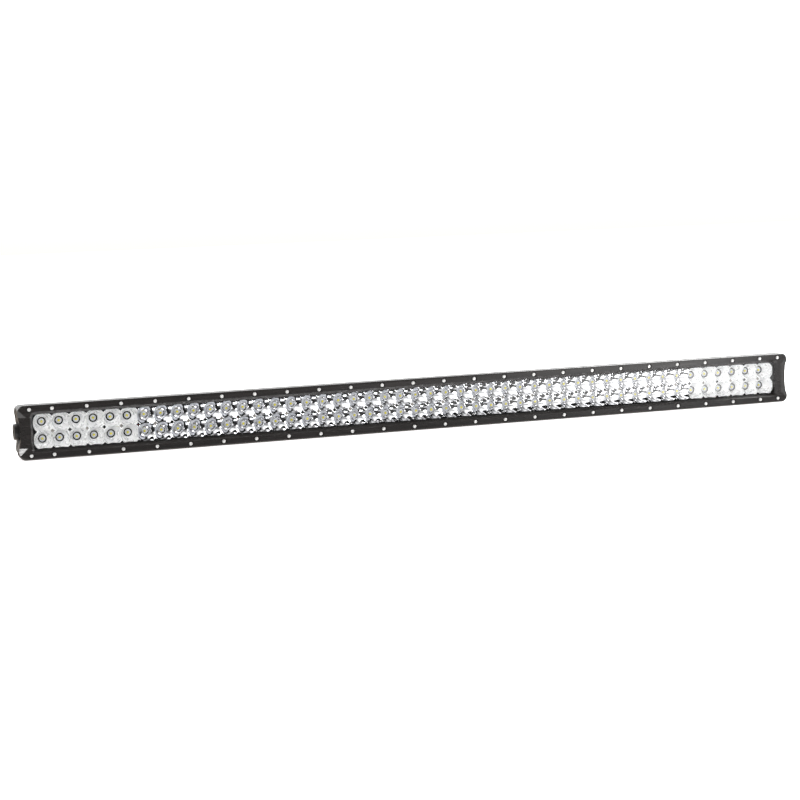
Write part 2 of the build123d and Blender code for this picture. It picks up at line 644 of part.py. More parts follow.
with BuildPart() as gland_body:
    with BuildSketch(at_depth(THREAD_FRONT)):
        with Locations((GLAND_X, 0)):
            Circle(GLAND_THREAD_R)
    extrude(amount=-(BODY_DEPTH + SEAL_THICK - THREAD_FRONT))
    with BuildSketch(at_depth(BODY_DEPTH + SEAL_THICK)):
        with Locations((GLAND_X, 0)):
            RegularPolygon(7.4, 6)
    extrude(amount=-HEX_THICK)
    with BuildSketch(at_depth(HEX_BACK)):
        with Locations((GLAND_X, 0)):
            Circle(BARREL_R)
    extrude(amount=-(BARREL_BACK - HEX_BACK))
    with BuildSketch(at_depth(TOTAL_DEPTH)):
        with Locations((GLAND_X, 0)):
            Circle(CABLE_R)
    extrude(amount=TOTAL_DEPTH - THREAD_FRONT, mode=Mode.SUBTRACT)
gland_body.part.label = "gland_body"
export_step(gland_body.part, "parts/gland_body.step")

with BuildPart() as gland_dome_nut:
    with BuildSketch(at_depth(HEX_BACK)):
        with Locations((GLAND_X, 0)):
            RegularPolygon(7.2, 6)
    extrude(amount=-HEX_THICK)
    with BuildSketch(at_depth(HEX_BACK + HEX_THICK)):
        with Locations((GLAND_X, 0)):
            Circle(6.2)
    extrude(amount=-(TOTAL_DEPTH - HEX_BACK - HEX_THICK))
    fillet(gland_dome_nut.faces().sort_by(Axis.Y)[-1].outer_wire().edges(), 1.6)
    with BuildSketch(at_depth(HEX_BACK)):
        with Locations((GLAND_X, 0)):
            Circle(BARREL_R + 0.05)
    extrude(amount=-(BARREL_BACK + 0.1 - HEX_BACK), mode=Mode.SUBTRACT)
    with BuildSketch(at_depth(TOTAL_DEPTH)):
        with Locations((GLAND_X, 0)):
            Circle(CABLE_R)
    extrude(amount=3, mode=Mode.SUBTRACT)
gland_dome_nut.part.label = "gland_dome_nut"
export_step(gland_dome_nut.part, "parts/gland_dome_nut.step")

with BuildPart() as gland_locknut:
    with BuildSketch(at_depth(POCKET_BACK - LOCKNUT_THICK)):
        with Locations((GLAND_X, 0)):
            RegularPolygon(6.8, 6)
            Circle(GLAND_THREAD_R + 0.05, mode=Mode.SUBTRACT)
    extrude(amount=-LOCKNUT_THICK)
gland_locknut.part.label = "gland_locknut"
export_step(gland_locknut.part, "parts/gland_locknut.step")

with BuildPart() as breather:
    with BuildSketch(at_depth(POCKET_BACK - 1)):
        with Locations((-GLAND_X, 0)):
            Circle(VENT_THREAD_R)
    extrude(amount=-(BODY_DEPTH - POCKET_BACK + 1))
    with BuildSketch(at_depth(BODY_DEPTH)):
        with Locations((-GLAND_X, 0)):
            Circle(VENT_CAP_R)
    extrude(amount=-VENT_CAP_THICK)
    fillet(breather.faces().sort_by(Axis.Y)[-1].outer_wire().edges(), 0.8)
    with BuildSketch(at_depth(BODY_DEPTH + VENT_CAP_THICK)):
        with Locations((-GLAND_X, 0)):
            with PolarLocations(3, 4):
                Circle(0.7)
    extrude(amount=1.5, mode=Mode.SUBTRACT)
breather.part.label = "breather"
export_step(breather.part, "parts/breather.step")
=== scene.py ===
import json
import math

import bpy
from mathutils import Matrix, Vector


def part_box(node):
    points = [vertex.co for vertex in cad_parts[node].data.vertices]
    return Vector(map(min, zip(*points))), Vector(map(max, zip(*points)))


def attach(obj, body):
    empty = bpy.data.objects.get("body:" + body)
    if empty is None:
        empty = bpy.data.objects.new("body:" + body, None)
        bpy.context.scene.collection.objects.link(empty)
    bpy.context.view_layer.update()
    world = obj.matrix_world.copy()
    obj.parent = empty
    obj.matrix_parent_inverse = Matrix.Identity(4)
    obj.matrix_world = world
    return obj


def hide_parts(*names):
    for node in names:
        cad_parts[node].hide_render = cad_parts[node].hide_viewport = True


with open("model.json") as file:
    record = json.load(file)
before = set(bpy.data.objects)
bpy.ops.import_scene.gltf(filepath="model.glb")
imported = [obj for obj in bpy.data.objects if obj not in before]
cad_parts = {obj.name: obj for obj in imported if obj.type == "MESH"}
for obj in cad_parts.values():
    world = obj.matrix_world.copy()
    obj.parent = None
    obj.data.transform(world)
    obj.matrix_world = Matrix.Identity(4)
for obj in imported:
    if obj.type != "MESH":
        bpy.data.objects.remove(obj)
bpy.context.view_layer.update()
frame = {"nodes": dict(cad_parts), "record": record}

cad = frame["nodes"]
record = frame["record"]

# ---------------------------------------------------------------- dimensions, in metres
MM = 0.001
PITCH = 25.4 * MM
MODULES = 8
MODULE_COLUMNS = 6
MODULE_LENGTH = MODULE_COLUMNS * PITCH
MODULE_GAP = 0.2 * MM  # left free between neighbouring modules
HALF_CELL = PITCH / 2
RIM_R = 15.0 * MM
SHELL = 0.8 * MM
BOWL_DEPTH = 20.2 * MM
END_REACH = 14.8 * MM  # how far the outermost bowls stand out from their axes
POST_X = (-2 * PITCH, 0, 2 * PITCH)  # from a module's middle
POST_R = 2.4 * MM
POST_HOLE_R = 1.6 * MM
POST_CHAMFER = 0.3 * MM
POST_CLEARANCE = 0.3 * MM  # between a post and the inner wall of a bowl
POST_DEPTHS = (1.5, 1.9, 4, 7, 10, 13, 17, 21.4)  # behind the rims, in mm
POST_SIDES = 48
WEB_DEPTH = 8.2 * MM
WEB_HEIGHT = 7.3 * MM
WEB_REACH = 9.0 * MM
WEB_THICK = 1.2 * MM
FLOOD_HOLE_R = 6.5 * MM
SPOT_HOLE_R = 5.0 * MM

front_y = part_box("front_bezel")[0].y
board_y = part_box("led_board_1")[0].y
rim_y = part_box("reflector_flood_1")[0].y
bowl_back_y = rim_y + BOWL_DEPTH
base_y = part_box("led_bases")[0].y
floor_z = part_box("end_cap_left")[0].z

module_x = [(m - (MODULES - 1) / 2) * MODULE_LENGTH for m in range(MODULES)]
columns = MODULES * MODULE_COLUMNS
column_x = [(i - (columns - 1) / 2) * PITCH for i in range(columns)]
post_x = [x + step for x in module_x for step in POST_X]
emitters = [(x, z) for x in column_x for z in (HALF_CELL, -HALF_CELL)]


# ---------------------------------------------------------------- material helpers
NOISE_LOW, NOISE_HIGH = 0.3, 0.7  # nearly all of a noise texture lies between these
NOISE_ROUGHNESS = 0.55
CELL_SMOOTHNESS = 0.6


class Look:
    """One procedural material, with short calls for the nodes that it needs."""

    def __init__(self, name, color, roughness, metallic=0.0, specular=0.5):
        self.mat = bpy.data.materials.new(name)
        self.mat.use_nodes = True
        self.nodes = self.mat.node_tree.nodes
        self.links = self.mat.node_tree.links
        self.shader = self.nodes["Principled BSDF"]
        self.shader.inputs["Base Color"].default_value = (*color, 1)
        self.shader.inputs["Roughness"].default_value = roughness
        self.shader.inputs["Metallic"].default_value = metallic
        self.shader.inputs["Specular IOR Level"].default_value = specular
        self.coords = self.nodes.new("ShaderNodeTexCoord").outputs["Object"]
        self.height = None

    def set(self, **values):
        """Sets the shader's inputs, with _ in place of a space in each name."""
        for name, value in values.items():
            self.shader.inputs[name.replace("_", " ")].default_value = value
        return self

    def noise(self, scale, detail=3.0, stretch=(1, 1, 1)):
        """Noise of this many cells per metre, stretched by a factor along each axis."""
        mapping = self.nodes.new("ShaderNodeMapping")
        mapping.inputs["Scale"].default_value = [1 / s for s in stretch]
        self.links.new(self.coords, mapping.inputs["Vector"])
        texture = self.nodes.new("ShaderNodeTexNoise")
        texture.inputs["Scale"].default_value = scale
        texture.inputs["Detail"].default_value = detail
        texture.inputs["Roughness"].default_value = NOISE_ROUGHNESS
        self.links.new(mapping.outputs["Vector"], texture.inputs["Vector"])
        return texture.outputs["Fac"]

    def cells(self, scale):
        """Rounded cells, this many per metre."""
        texture = self.nodes.new("ShaderNodeTexVoronoi")
        texture.feature = "SMOOTH_F1"
        texture.inputs["Scale"].default_value = scale
        texture.inputs["Smoothness"].default_value = CELL_SMOOTHNESS
        self.links.new(self.coords, texture.inputs["Vector"])
        return texture.outputs["Distance"]

    def remap(self, value, low, high):
        """A noise value brought to the range from low to high."""
        node = self.nodes.new("ShaderNodeMapRange")
        node.inputs["From Min"].default_value = NOISE_LOW
        node.inputs["From Max"].default_value = NOISE_HIGH
        node.inputs["To Min"].default_value = low
        node.inputs["To Max"].default_value = high
        self.links.new(value, node.inputs["Value"])
        return node.outputs["Result"]

    def vary_color(self, value, low, high):
        """Base colour between low and high, by a noise value."""
        node = self.nodes.new("ShaderNodeValToRGB")
        node.color_ramp.elements[0].position = NOISE_LOW
        node.color_ramp.elements[0].color = (*low, 1)
        node.color_ramp.elements[1].position = NOISE_HIGH
        node.color_ramp.elements[1].color = (*high, 1)
        self.links.new(value, node.inputs["Fac"])
        self.links.new(node.outputs["Color"], self.shader.inputs["Base Color"])
        return self

    def vary_roughness(self, value, low, high):
        self.links.new(self.remap(value, low, high), self.shader.inputs["Roughness"])
        return self

    def bump(self, value, depth):
        """Relief of this depth in metres; each further call adds to the last."""
        node = self.nodes.new("ShaderNodeBump")
        node.inputs["Strength"].default_value = 1.0
        node.inputs["Distance"].default_value = depth
        self.links.new(value, node.inputs["Height"])
        if self.height is not None:
            self.links.new(self.height, node.inputs["Normal"])
        self.height = node.outputs["Normal"]
        self.links.new(self.height, self.shader.inputs["Normal"])
        return self

    def clear(self):
        """Lets lamps through a clear material, as thin clear plastic does."""
        path = self.nodes.new("ShaderNodeLightPath")
        see_through = self.nodes.new("ShaderNodeBsdfTransparent")
        mix = self.nodes.new("ShaderNodeMixShader")
        out = self.nodes["Material Output"]
        self.links.new(path.outputs["Is Shadow Ray"], mix.inputs["Fac"])
        self.links.new(self.shader.outputs["BSDF"], mix.inputs[1])
        self.links.new(see_through.outputs["BSDF"], mix.inputs[2])
        self.links.new(mix.outputs["Shader"], out.inputs["Surface"])
        return self


# ---------------------------------------------------------------- materials, one per slot of the record
def powder_coat(name, color, lift):
    look = Look(name, color, 0.36, specular=0.4)
    look.vary_color(look.noise(9, 4), color, [c * lift for c in color])
    look.vary_roughness(look.noise(240, 4), 0.32, 0.41)
    look.bump(look.noise(650, 2), 0.05 * MM)
    return look.bump(look.noise(2600, 2), 0.02 * MM)


def anodised(name):
    look = Look(name, (0.014, 0.0125, 0.012), 0.2)
    streaks = look.noise(260, 4, stretch=(30, 1, 1))
    look.vary_color(streaks, (0.011, 0.0098, 0.0092), (0.018, 0.0158, 0.015))
    look.vary_roughness(look.noise(500, 4, stretch=(40, 1, 1)), 0.16, 0.26)
    look.bump(look.noise(1500, 3, stretch=(50, 1, 1)), 0.012 * MM)
    return look.bump(look.noise(900, 2), 0.01 * MM)


def clear_plastic(name, ior, haze):
    look = Look(name, (1, 1, 1), 0.0)
    look.set(Transmission_Weight=1.0, IOR=ior)
    look.vary_roughness(look.noise(35, 3), 0.0, haze)
    return look.clear()


def rubber(name, color):
    look = Look(name, color, 0.65, specular=0.35)
    look.vary_color(look.noise(120, 4), color, [c * 1.7 for c in color])
    look.vary_roughness(look.noise(300, 3), 0.55, 0.75)
    return look.bump(look.noise(1800, 3), 0.03 * MM)


def flood_metal(name):
    look = Look(name, (0.97, 0.97, 0.97), 0.3, metallic=0.4)
    look.vary_color(look.noise(220, 3), (0.95, 0.955, 0.96), (1.0, 1.0, 0.995))
    look.vary_roughness(look.noise(150, 3), 0.22, 0.36)
    return look.bump(look.cells(1250), 0.25 * MM)


def spot_metal(name):
    look = Look(name, (0.93, 0.93, 0.935), 0.05, metallic=1.0)
    look.vary_color(look.noise(90, 3), (0.9, 0.905, 0.92), (0.95, 0.95, 0.955))
    look.vary_roughness(look.noise(110, 4), 0.02, 0.05)
    return look.bump(look.noise(130, 2), 0.035 * MM)


def board_mask(name, color, specular):
    look = Look(name, color, 0.35, specular=specular)
    look.vary_color(look.noise(400, 3), color, [c * 1.8 for c in color])
    look.vary_roughness(look.noise(250, 3), 0.28, 0.42)
    return look.bump(look.noise(1400, 2), 0.015 * MM)


def ceramic(name):
    look = Look(name, (0.68, 0.69, 0.73), 0.35)
    look.vary_color(look.noise(1500, 3), (0.56, 0.575, 0.63), (0.8, 0.81, 0.84))
    look.vary_roughness(look.noise(800, 3), 0.42, 0.6)
    return look.bump(look.noise(3000, 2), 0.01 * MM)


def phosphor(name):
    look = Look(name, (0.82, 0.72, 0.05), 0.6)
    look.vary_color(look.noise(5000, 3), (0.7, 0.6, 0.03), (0.9, 0.82, 0.1))
    look.vary_roughness(look.noise(3000, 3), 0.5, 0.7)
    return look.bump(look.noise(6000, 2), 0.01 * MM)


def steel(name):
    look = Look(name, (0.84, 0.83, 0.815), 0.28, metallic=0.6)
    look.vary_color(look.noise(700, 4), (0.76, 0.75, 0.735), (0.92, 0.91, 0.895))
    look.vary_roughness(look.noise(1200, 4), 0.2, 0.36)
    return look.bump(look.noise(2500, 3), 0.006 * MM)


# Painted shade: a darker copy of the screw steel. It stands in for the shade on the screws that sit deep
# in the gaps between the bowls.
def shaded_steel(name):
    look = Look(name, (0.3, 0.28, 0.26), 0.42, metallic=1.0)
    look.vary_color(look.noise(700, 4), (0.22, 0.2, 0.18), (0.38, 0.36, 0.33))
    look.vary_roughness(look.noise(1200, 4), 0.36, 0.5)
    return look.bump(look.noise(2500, 3), 0.01 * MM)


def moulded(name, color, roughness):
    look = Look(name, color, roughness)
    look.vary_color(look.noise(200, 3), color, [c * 1.4 for c in color])
    look.vary_roughness(look.noise(500, 3), roughness - 0.07, roughness + 0.08)
    return look.bump(look.noise(2200, 3), 0.02 * MM)


looks = {
    "housing_black": powder_coat("housing_black", (0.0125, 0.0118, 0.0115), 1.5),
    "cap_black": powder_coat("cap_black", (0.0135, 0.0125, 0.012), 1.5),
    "bezel_black": anodised("bezel_black"),
    "clear_lens": clear_plastic("clear_lens", 1.5, 0.012),
    "gasket_rubber": rubber("gasket_rubber", (0.012, 0.012, 0.012)),
    "flood_reflector": flood_metal("flood_reflector"),
    "spot_reflector": spot_metal("spot_reflector"),
    "led_board": board_mask("led_board", (0.0025, 0.0025, 0.0025), 0.12),
    "led_base": ceramic("led_base"),
    "led_phosphor": phosphor("led_phosphor"),
    "led_dome": clear_plastic("led_dome", 1.41, 0.02),
    "screw_steel": steel("screw_steel"),
    "insulator": rubber("insulator", (0.1, 0.12, 0.15)),
    "driver_board": board_mask("driver_board", (0.006, 0.06, 0.02), 0.5),
    "component_black": moulded("component_black", (0.02, 0.02, 0.02), 0.4),
    "capacitor_can": steel("capacitor_can"),
    "wire_insulation": moulded("wire_insulation", (0.25, 0.01, 0.008), 0.35),
    "gland_plastic": moulded("gland_plastic", (0.014, 0.014, 0.014), 0.45),
}
slot_of = {part["node"]: part["material_slot"] for part in record["subparts"]}
for node, obj in cad.items():
    for material_slot in obj.material_slots:
        material_slot.material = looks[slot_of[node]].mat


# ---------------------------------------------------------------- mesh helpers
SHARP_ANGLE = math.radians(38)
BOWL_SHARP_ANGLE = math.radians(30)


def piece(name, verts, faces, slot, *nodes):
    """A new object on the root body, in place of these CAD nodes."""
    mesh = bpy.data.meshes.new(name)
    mesh.from_pydata(verts, [], faces)
    mesh.validate()
    mesh.shade_smooth()
    mesh.set_sharp_from_angle(angle=SHARP_ANGLE)
    obj = bpy.data.objects.new(name, mesh)
    bpy.context.scene.collection.objects.link(obj)
    mesh.materials.append(looks[slot].mat)
    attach(obj, "root")
    if nodes:
        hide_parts(*nodes)
    return obj


def repeated(shape, matrices):
    """The vertices and faces of a shape, copied once for each matrix."""
    verts, faces = [], []
    for matrix in matrices:
        start = len(verts)
        verts += [matrix @ Vector(v) for v in shape[0]]
        faces += [[start + i for i in face] for face in shape[1]]
    return verts, faces


def rings(outlines):
    """A closed skin over rings of points that stand along Z; a ring of one point closes an end."""
    verts, faces, starts = [], [], []
    for outline in outlines:
        starts.append(len(verts))
        verts += outline
    for k in range(len(outlines) - 1):
        a, b = starts[k], starts[k + 1]
        na, nb = len(outlines[k]), len(outlines[k + 1])
        count = max(na, nb)
        for i in range(count):
            j = (i + 1) % count
            if na == 1:
                faces.append([a, b + j, b + i])
            elif nb == 1:
                faces.append([a + i, a + j, b])
            else:
                faces.append([a + i, a + j, b + j, b + i])
    return verts, faces


def circle(radius, height, count, corner=None):
    """Ring of points; corner is the number of sides, where the ring is a polygon."""
    if radius == 0:
        return [(0, 0, height)]
    points = []
    for i in range(count):
        angle = 2 * math.pi * i / count
        r = radius
        if corner:
            step = 2 * math.pi / corner
            r = radius * math.cos(step / 2) / math.cos(angle % step - step / 2)
        points.append((r * math.cos(angle), r * math.sin(angle), height))
    return points


def facing_front(x, y, z):
    """Turns +Z to -Y, which is out of the front, and moves to a place."""
    return Matrix.Translation((x, y, z)) @ Matrix.Rotation(math.pi / 2, 4, "X")


# ---------------------------------------------------------------- reflectors
OCTANT = 8  # steps between an axis and a diagonal of a cell
RIM_STEPS = 3  # those of them that follow the round rim in the cell's corner
ROWS = 11  # points from the hole to the rim
TINY = 1e-9  # keeps a division by a cosine safe
RIM_SLACK = 1e-7  # a reach this close to RIM_R counts as the round rim
SAME_PLACE = 1e6  # points that agree in whole micrometres are one vertex
turn_angle = math.acos(HALF_CELL / RIM_R)
octant = [turn_angle * i / (OCTANT - RIM_STEPS) for i in range(OCTANT - RIM_STEPS)]
octant += [turn_angle + (math.pi / 4 - turn_angle) * i / RIM_STEPS for i in range(RIM_STEPS)]
quarter = octant + [math.pi / 2 - a for a in [math.pi / 4] + octant[:0:-1]]
cell_angles = [a + k * math.pi / 2 for k in range(4) for a in quarter]


def bowl_y(r, hole):
    """Where the paraboloid's wall stands at this radius."""
    return bowl_back_y - (r * r - hole * hole) * BOWL_DEPTH / (RIM_R**2 - hole**2)


def bowl_normal(r, angle, hole):
    """Unit vector out of the bowl's wall, away from its axis."""
    slope = 2 * r * BOWL_DEPTH / (RIM_R**2 - hole**2)
    return Vector((slope * math.cos(angle), 1, slope * math.sin(angle))).normalized()


def limit(value, low=-HALF_CELL):
    return max(low, min(HALF_CELL, value))


def bowl_lines(cx, cz, left_reach, hole, vertex):
    """Vertices of a bowl's inner and outer skin, in lines from its hole to its rim."""
    inner, outer = [], []
    for angle in cell_angles:
        c, s = math.cos(angle), math.sin(angle)
        across = left_reach if c < 0 else HALF_CELL
        reach = min(across / max(abs(c), TINY), HALF_CELL / max(abs(s), TINY), RIM_R)
        line_in, line_out = [], []
        for row in range(ROWS):
            r = hole + (reach - hole) * row / (ROWS - 1)
            y = bowl_y(r, hole)
            line_in.append(vertex((cx + r * c, y, cz + r * s)))
            n = bowl_normal(r, angle, hole)
            on_ridge = row == ROWS - 1 and reach < RIM_R - RIM_SLACK
            if on_ridge:
                offset = Vector((r * c, y + SHELL / n.y, r * s))
            else:
                offset = Vector((r * c, y, r * s)) + n * SHELL
            place = (cx + limit(offset.x, -left_reach), offset.y, cz + limit(offset.z))
            line_out.append(vertex(place))
        inner.append(line_in)
        outer.append(line_out)
    return inner, outer


def bowl_faces(inner, outer, column, side):
    """Both skins of a bowl, the ring around its hole, and the edges where the shell ends."""
    faces = []
    last = ROWS - 1
    count = len(cell_angles)
    for i in range(count):
        j = (i + 1) % count
        for row in range(last):
            faces.append([inner[i][row], inner[i][row + 1], inner[j][row + 1], inner[j][row]])
            faces.append([outer[i][row], outer[j][row], outer[j][row + 1], outer[i][row + 1]])
        faces.append([inner[i][0], inner[j][0], outer[j][0], outer[i][0]])
        middle = (cell_angles[i] + (cell_angles[j] if j else 2 * math.pi)) / 2
        mx, mz = math.cos(middle), math.sin(middle)
        on_rim = max(abs(mx), abs(mz)) * RIM_R < HALF_CELL
        left = mx < -abs(mz) and column == 0
        right = mx > abs(mz) and column == MODULE_COLUMNS - 1
        away = mz * side > abs(mx)
        if on_rim or left or right or away:
            faces.append([inner[i][last], outer[i][last], outer[j][last], inner[j][last]])
    return faces


def web(x, half_x, half_z):
    """A closed box that crosses a post's axis."""
    corners = ((-1, -1), (1, -1), (1, 1), (-1, 1))
    verts = []
    for y in (rim_y + WEB_DEPTH, rim_y + WEB_DEPTH + WEB_HEIGHT):
        verts += [(x + u * half_x, y, v * half_z) for u, v in corners]
    faces = [[0, 1, 2, 3], [7, 6, 5, 4]]
    for i in range(4):
        j = (i + 1) % 4
        faces.append([j, i, 4 + i, 4 + j])
    return verts, faces


def post_radius(toward, bowl_r):
    """Radius of a post in this direction, cut back where it would enter a bowl."""
    centre = Vector((math.copysign(HALF_CELL, toward.x), math.copysign(HALF_CELL, toward.y)))
    along = centre.dot(toward)
    reached = along**2 - centre.length_squared + (bowl_r + POST_CLEARANCE) ** 2
    if reached <= 0:
        return POST_R
    return min(POST_R, along - math.sqrt(reached))


def post(x, hole):
    """A tube for a screw, whose outside follows the bowls around it."""
    skin = []
    for depth in POST_DEPTHS:
        y = rim_y + depth * MM
        inside = max(bowl_back_y - y, 0)
        bowl_r = math.sqrt(inside * (RIM_R**2 - hole**2) / BOWL_DEPTH + hole**2)
        chamfer = POST_CHAMFER if depth == POST_DEPTHS[0] else 0
        ring = []
        for i in range(POST_SIDES):
            angle = 2 * math.pi * i / POST_SIDES
            toward = Vector((math.cos(angle), math.sin(angle)))
            r = post_radius(toward, bowl_r) - chamfer
            ring.append((x + r * toward.x, y, r * toward.y))
        skin.append(ring)
    for depth in (POST_DEPTHS[-1], POST_DEPTHS[0]):
        y = rim_y + depth * MM
        skin.append([(x + a, y, b) for a, b, _ in circle(POST_HOLE_R, 0, POST_SIDES)])
    verts, faces = rings(skin + [skin[0]])
    total = len(verts) - POST_SIDES
    return verts[:total], [[i if i < total else i - total for i in face] for face in faces]


def reflector_shape(hole, end_reach=HALF_CELL):
    """Six by two bowls as one closed shell, with screw posts and their webs on the centre line."""
    verts, faces, found = [], [], {}

    def vertex(point):
        key = tuple(round(c * SAME_PLACE) for c in point)
        if key not in found:
            found[key] = len(verts)
            verts.append(point)
        return found[key]

    def add(part_verts, part_faces):
        start = len(verts)
        verts.extend(part_verts)
        faces.extend([start + i for i in face] for face in part_faces)

    for column in range(MODULE_COLUMNS):
        left_reach = end_reach if column == 0 else HALF_CELL
        for side in (1, -1):
            cx = (column - (MODULE_COLUMNS - 1) / 2) * PITCH
            inner, outer = bowl_lines(cx, side * HALF_CELL, left_reach, hole, vertex)
            faces.extend(bowl_faces(inner, outer, column, side))
    for x in POST_X:
        add(*web(x, WEB_REACH, WEB_THICK / 2))
        add(*web(x, WEB_THICK / 2, WEB_REACH))
        add(*post(x, hole))
    return verts, faces


shapes = {
    "flood": reflector_shape(FLOOD_HOLE_R, END_REACH),
    "spot": reflector_shape(SPOT_HOLE_R),
}
shrink = Matrix.Diagonal((1 - MODULE_GAP / MODULE_LENGTH, 1, 1 - MODULE_GAP / (2 * PITCH), 1))
for m, x in enumerate(module_x):
    beam = "flood" if m in (0, MODULES - 1) else "spot"
    turn = Matrix.Rotation(math.pi if m == MODULES - 1 else 0, 4, "Y")
    placed = repeated(shapes[beam], [Matrix.Translation((x, 0, 0)) @ turn @ shrink])
    obj = piece(f"{beam}_bowls_{m + 1}", *placed, f"{beam}_reflector", f"reflector_{beam}_{m + 1}")
    obj.data.set_sharp_from_angle(angle=BOWL_SHARP_ANGLE)

# ---------------------------------------------------------------- emitters
SEGMENTS = 32
base_profile = [  # radius and height, in mm
    (0, 0), (4.3, 0), (4.4, 0.1), (4.4, 0.62), (4.25, 0.78), (3.65, 0.8), (3.55, 0.7),
    (3.3, 0.7), (3.2, 0.8), (0, 0.8),
]
base_shape = rings([circle(r * MM, h * MM, SEGMENTS) for r, h in base_profile])
base_places = [facing_front(x, board_y, z) for x, z in emitters]
piece("emitter_bases", *repeated(base_shape, base_places), "led_base", "led_bases")

DOME_R = 2.55
DOME_FOOT = 0.2
DOME_RISE = 2.38
arc = [math.pi / 2 * i / 9 for i in range(10)]
dome_profile = [(0, 0.27), (1.4, 0.27), (1.4, 0), (2.95, 0), (3.0, 0.05), (3.0, 0.13), (2.62, DOME_FOOT)]
dome_profile += [(DOME_R * math.cos(a), DOME_FOOT + DOME_RISE * math.sin(a)) for a in arc[:-1]]
dome_profile += [(0, DOME_FOOT + DOME_RISE)]
dome_shape = rings([circle(r * MM, h * MM, SEGMENTS) for r, h in dome_profile])
dome_places = [facing_front(x, base_y, z) for x, z in emitters]
piece("emitter_domes", *repeated(dome_shape, dome_places), "led_dome", "led_domes")


# ---------------------------------------------------------------- screws
SCREW_SIDES = 36
SCREW_TURN = 2.4  # radians from one screw to the next, so that no two neighbours stop alike
TIP_CHAMFER = 0.4 * MM


def screw_shape(head_r, head_h, shank_r, length):
    """Pan head with a chamfered hexagon socket, and a shank with a chamfered tip."""
    socket = head_r * 0.42
    outlines = [
        circle(0, head_h * 0.35, SCREW_SIDES),
        circle(socket, head_h * 0.42, SCREW_SIDES, corner=6),
        circle(socket, head_h * 0.93, SCREW_SIDES, corner=6),
        circle(socket * 1.12, head_h, SCREW_SIDES),
    ]
    # shares of the head's radius and height
    crown = [(0.62, 0.985), (0.74, 0.93), (0.86, 0.8), (0.95, 0.58), (1.0, 0.3), (1.0, 0.06), (0.97, 0)]
    outlines += [circle(head_r * r, head_h * h, SCREW_SIDES) for r, h in crown]
    outlines += [
        circle(shank_r, 0, SCREW_SIDES),
        circle(shank_r, -length + TIP_CHAMFER, SCREW_SIDES),
        circle(shank_r - TIP_CHAMFER, -length, SCREW_SIDES),
        circle(0, -length, SCREW_SIDES),
    ]
    verts, faces = rings(outlines)
    return verts, [face[::-1] for face in faces]


def screws(name, node, shape, places):
    placed = [place @ Matrix.Rotation(k * SCREW_TURN, 4, "Z") for k, place in enumerate(places)]
    return piece(name, *repeated(shape, placed), "screw_steel", node)


SCREW_ROW = 34 * MM
CORNER_X = 617.4 * MM
BEZEL_SEAT = 2.2 * MM
POST_TOP = POST_DEPTHS[0] * MM
bezel_screw = screw_shape(head_r=2.75 * MM, head_h=2.0 * MM, shank_r=1.6 * MM, length=14 * MM)
reflector_screw = screw_shape(head_r=2.2 * MM, head_h=1.6 * MM, shank_r=1.35 * MM, length=25 * MM)
cap_screw = screw_shape(head_r=3.4 * MM, head_h=2.4 * MM, shank_r=1.65 * MM, length=30 * MM)

bezel_x = post_x + [CORNER_X, -CORNER_X]
bezel_places = [facing_front(x, front_y + BEZEL_SEAT, z) for x in bezel_x for z in (SCREW_ROW, -SCREW_ROW)]
screws("bezel_screw_set", "bezel_screws", bezel_screw, bezel_places)

post_places = [facing_front(x, rim_y + POST_TOP, 0) for x in post_x]
inner_screws = screws("reflector_screw_set", "reflector_screws", reflector_screw, post_places)
# The screws between the bowls take the darker steel copy, as painted shade for the gap they sit in.
inner_screws.data.materials[0] = shaded_steel("screw_steel_painted_shade").mat

CAP_SCREWS = [(21.5, 31.5, 4), (21.5, -31.5, 4), (45.5, 22.0, 6), (45.5, -22.0, 6)]  # depth, height, seat
cap_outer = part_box("front_bezel")[1].x
cap_places = []
for side in (1, -1):
    for depth, z, seat in CAP_SCREWS:
        place = Matrix.Translation((side * (cap_outer - seat * MM), front_y + depth * MM, z * MM))
        cap_places.append(place @ Matrix.Rotation(side * math.pi / 2, 4, "Y"))
screws("cap_screw_set", "end_cap_screws", cap_screw, cap_places)


# ---------------------------------------------------------------- studio
scene = bpy.context.scene
scene.view_settings.view_transform = "Standard"
scene.view_settings.look = "None"


def stage_quad(name, corners, material):
    """A piece of the studio with one face."""
    mesh = bpy.data.meshes.new(name)
    mesh.from_pydata(corners, [], [(0, 1, 2, 3)])
    mesh.materials.append(material)
    obj = bpy.data.objects.new(name, mesh)
    scene.collection.objects.link(obj)
    return obj


class Graph:
    """Short calls for a node tree that is built from nothing."""

    def __init__(self, tree):
        self.nodes, self.links = tree.nodes, tree.links
        self.nodes.clear()

    def new(self, kind, **inputs):
        """A node, with _ in place of a space in each input's name."""
        node = self.nodes.new(kind)
        for name, value in inputs.items():
            self.feed(node.inputs[name.replace("_", " ")], value)
        return node

    def feed(self, socket, value):
        if isinstance(value, (int, float)):
            socket.default_value = value
        else:
            self.links.new(value, socket)

    def math(self, operation, *values):
        node = self.nodes.new("ShaderNodeMath")
        node.operation = operation
        for socket, value in zip(node.inputs, values):
            self.feed(socket, value)
        return node.outputs["Value"]

    def fade(self, angle, start, end):
        """0 at the start and 1 at the end, with both in degrees and the angle in radians."""
        limits = {"From_Min": math.radians(start), "From_Max": math.radians(end)}
        node = self.new("ShaderNodeMapRange", Value=angle, **limits)
        node.interpolation_type = "SMOOTHSTEP"
        return node.outputs["Result"]

    def coordinates(self, kind):
        """X, Y and Z of the object or the generated coordinates."""
        source = self.new("ShaderNodeTexCoord").outputs[kind]
        split = self.new("ShaderNodeSeparateXYZ", Vector=source)
        return [split.outputs[axis] for axis in "XYZ"]


